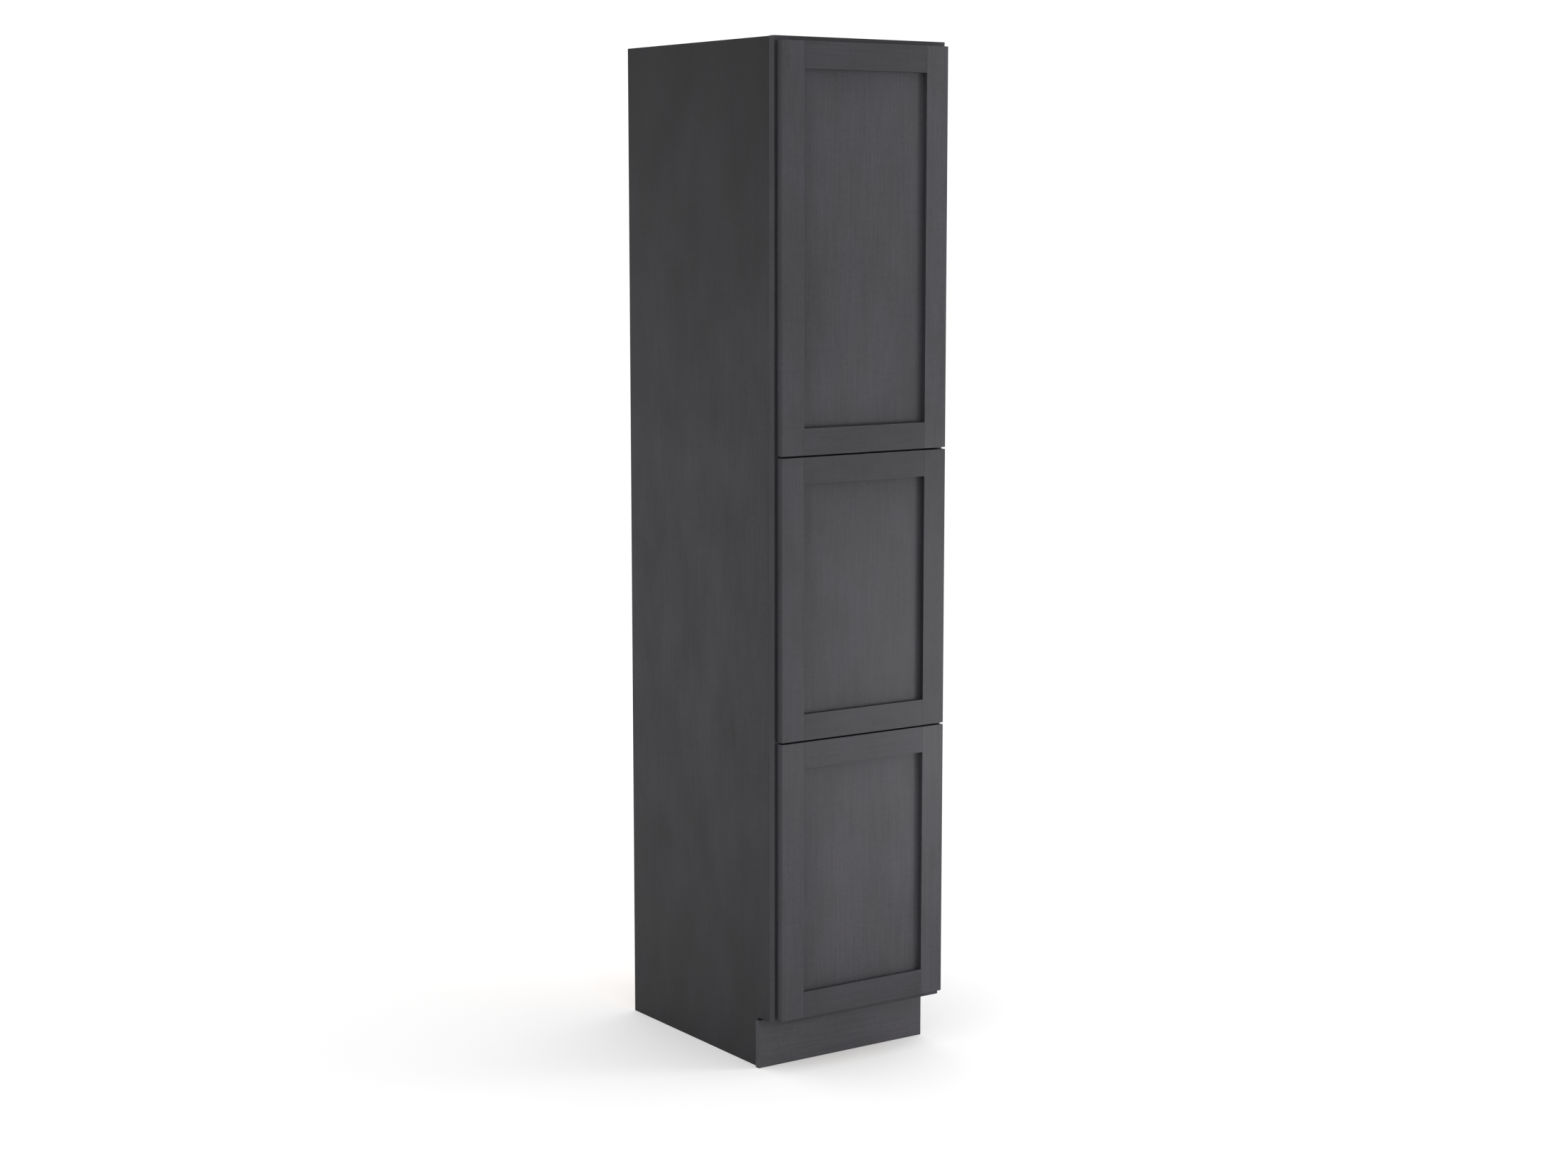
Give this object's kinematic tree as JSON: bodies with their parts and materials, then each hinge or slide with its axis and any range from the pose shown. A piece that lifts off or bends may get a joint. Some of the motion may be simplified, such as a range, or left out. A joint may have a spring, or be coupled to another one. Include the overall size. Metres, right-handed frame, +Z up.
{
  "type": "pantry cabinet",
  "caption": "Tall narrow pantry cabinet: face frame, stacked recessed-panel doors on concealed hinges, adjustable shelves inside, and a toe kick.",
  "frame": {"origin": "on the floor, in the middle of the cabinet's width and of its whole depth with the doors closed", "axes": "+Z up, the doors face -Y, +X is to the right of someone who looks at the doors"},
  "size_m": [0.4572, 0.6306, 2.286],
  "materials": {
    "charcoal_finish": "satin charcoal stain and topcoat over wood grain",
    "maple_interior": "clear satin coat on maple plywood",
    "nickel_steel": "nickel plated",
    "clear_rubber": "matte"
  },
  "bodies": {
    "cabinet": {"back_panel": "maple_interior", "bottom_nailer": "maple_interior", "bottom_panel": "maple_interior", "face_frame_rail_bottom": "charcoal_finish", "face_frame_rail_lower_middle": "charcoal_finish", "face_frame_rail_top": "charcoal_finish", "face_frame_rail_upper_middle": "charcoal_finish", "face_frame_stile_left": "charcoal_finish", "face_frame_stile_right": "charcoal_finish", "lower_deck": "maple_interior", "lower_door_hinge_arm_bottom": "nickel_steel", "lower_door_hinge_arm_top": "nickel_steel", "lower_shelf_1": "maple_interior", "middle_door_hinge_arm_bottom": "nickel_steel", "middle_door_hinge_arm_top": "nickel_steel", "middle_shelf_1": "maple_interior", "side_panel_left": "charcoal_finish", "side_panel_right": "charcoal_finish", "toe_kick_board": "charcoal_finish", "top_nailer": "maple_interior", "top_panel": "maple_interior", "upper_deck": "maple_interior", "upper_door_hinge_arm_bottom": "nickel_steel", "upper_door_hinge_arm_top": "nickel_steel", "upper_shelf_1": "maple_interior", "upper_shelf_2": "maple_interior"},
    "upper_links": {"upper_door_hinge_link_bottom": "nickel_steel", "upper_door_hinge_link_top": "nickel_steel"},
    "upper_door": {"upper_door_bumper_bottom": "clear_rubber", "upper_door_bumper_top": "clear_rubber", "upper_door_hinge_cup_bottom": "nickel_steel", "upper_door_hinge_cup_top": "nickel_steel", "upper_door_panel": "charcoal_finish", "upper_door_rail_bottom": "charcoal_finish", "upper_door_rail_top": "charcoal_finish", "upper_door_stile_left": "charcoal_finish", "upper_door_stile_right": "charcoal_finish"},
    "middle_links": {"middle_door_hinge_link_bottom": "nickel_steel", "middle_door_hinge_link_top": "nickel_steel"},
    "middle_door": {"middle_door_bumper_bottom": "clear_rubber", "middle_door_bumper_top": "clear_rubber", "middle_door_hinge_cup_bottom": "nickel_steel", "middle_door_hinge_cup_top": "nickel_steel", "middle_door_panel": "charcoal_finish", "middle_door_rail_bottom": "charcoal_finish", "middle_door_rail_top": "charcoal_finish", "middle_door_stile_left": "charcoal_finish", "middle_door_stile_right": "charcoal_finish"},
    "lower_links": {"lower_door_hinge_link_bottom": "nickel_steel", "lower_door_hinge_link_top": "nickel_steel"},
    "lower_door": {"lower_door_bumper_bottom": "clear_rubber", "lower_door_bumper_top": "clear_rubber", "lower_door_hinge_cup_bottom": "nickel_steel", "lower_door_hinge_cup_top": "nickel_steel", "lower_door_panel": "charcoal_finish", "lower_door_rail_bottom": "charcoal_finish", "lower_door_rail_top": "charcoal_finish", "lower_door_stile_left": "charcoal_finish", "lower_door_stile_right": "charcoal_finish"}
  },
  "joints": [
    {"name": "upper_link_swing", "type": "hinge", "parent": "cabinet", "child": "upper_links", "pos_m": [0.1905, -0.29988, 1.83225], "axis": [0, 0, 1], "range_deg": [-60, 0]},
    {"name": "upper_door_swing", "type": "hinge", "parent": "upper_links", "child": "upper_door", "pos_m": [0.209, -0.29933, 1.83225], "axis": [0, 0, 1], "range_deg": [0, 162]},
    {"name": "middle_link_swing", "type": "hinge", "parent": "cabinet", "child": "middle_links", "pos_m": [0.1905, -0.29988, 1.07165], "axis": [0, 0, 1], "range_deg": [-60, 0]},
    {"name": "middle_door_swing", "type": "hinge", "parent": "middle_links", "child": "middle_door", "pos_m": [0.209, -0.29933, 1.07165], "axis": [0, 0, 1], "range_deg": [0, 162]},
    {"name": "lower_link_swing", "type": "hinge", "parent": "cabinet", "child": "lower_links", "pos_m": [0.1905, -0.29988, 0.44135], "axis": [0, 0, 1], "range_deg": [-60, 0]},
    {"name": "lower_door_swing", "type": "hinge", "parent": "lower_links", "child": "lower_door", "pos_m": [0.209, -0.29933, 0.44135], "axis": [0, 0, 1], "range_deg": [0, 162]}
  ],
  "couplings": [
    {"joint": "upper_link_swing", "follows": "upper_door_swing", "ratio": -0.351},
    {"joint": "middle_link_swing", "follows": "middle_door_swing", "ratio": -0.351},
    {"joint": "lower_link_swing", "follows": "lower_door_swing", "ratio": -0.351}
  ]
}
